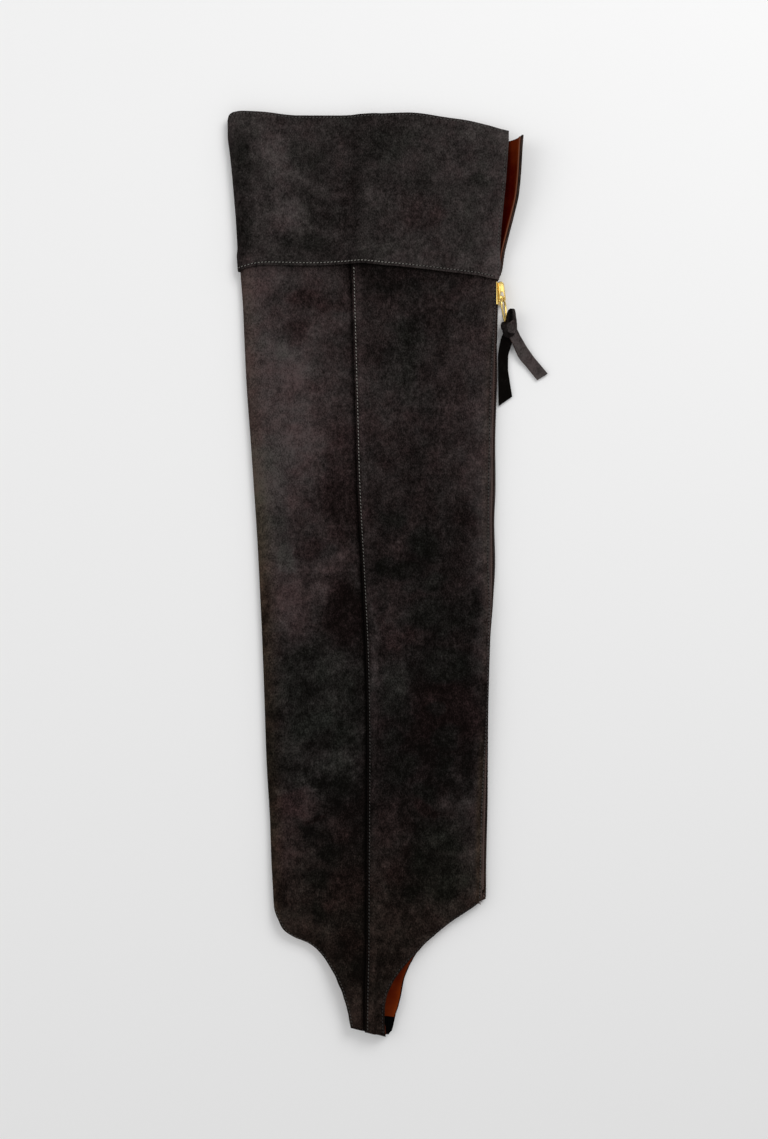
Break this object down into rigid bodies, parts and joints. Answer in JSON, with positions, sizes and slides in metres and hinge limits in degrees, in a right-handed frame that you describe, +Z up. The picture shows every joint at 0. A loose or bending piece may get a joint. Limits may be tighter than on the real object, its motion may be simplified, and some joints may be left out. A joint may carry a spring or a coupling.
{
  "type": "over-the-knee gaiter",
  "caption": "Suede over-the-knee gaiter laid flat: a tapering tube with a lapped cuff, a back zip with a tied pull, and shaped under-foot straps joined by elastic.",
  "frame": {"origin": "centre of the bounding box in plan, on the surface the gaiter lies on", "axes": "+Y along the leg towards the cuff, +Z up from the surface it lies on, +X from the front fold towards the zip"},
  "size_m": [0.2312, 0.6658, 0.0191],
  "materials": {
    "suede": "charcoal-brown napped suede",
    "lining": "smooth cognac lining leather",
    "zip_tape": "dark brown woven tape",
    "zip_coil": "dark brown nylon coil",
    "gold_metal": "polished gold plating",
    "elastic": "black ribbed elastic"
  },
  "bodies": {
    "gaiter": {"cuff": "suede", "front_panel": "suede", "back_panel_outer": "suede", "back_panel_inner": "suede", "cuff_lining": "lining", "strap_lining_outer": "lining", "strap_lining_inner": "lining", "zip_tape_outer": "zip_tape", "zip_tape_inner": "zip_tape", "zip_chain": "zip_coil", "zip_slider": "gold_metal", "stirrup_elastic": "elastic"},
    "pull": {"zip_pull": "gold_metal", "suede_tie": "suede"}
  },
  "joints": [
    {"name": "pull_swing", "type": "hinge", "parent": "gaiter", "child": "pull", "pos_m": [0.08281, 0.19825, 0.00646], "axis": [-0.342, 0, 0.9397], "range_deg": [0, 120]}
  ]
}
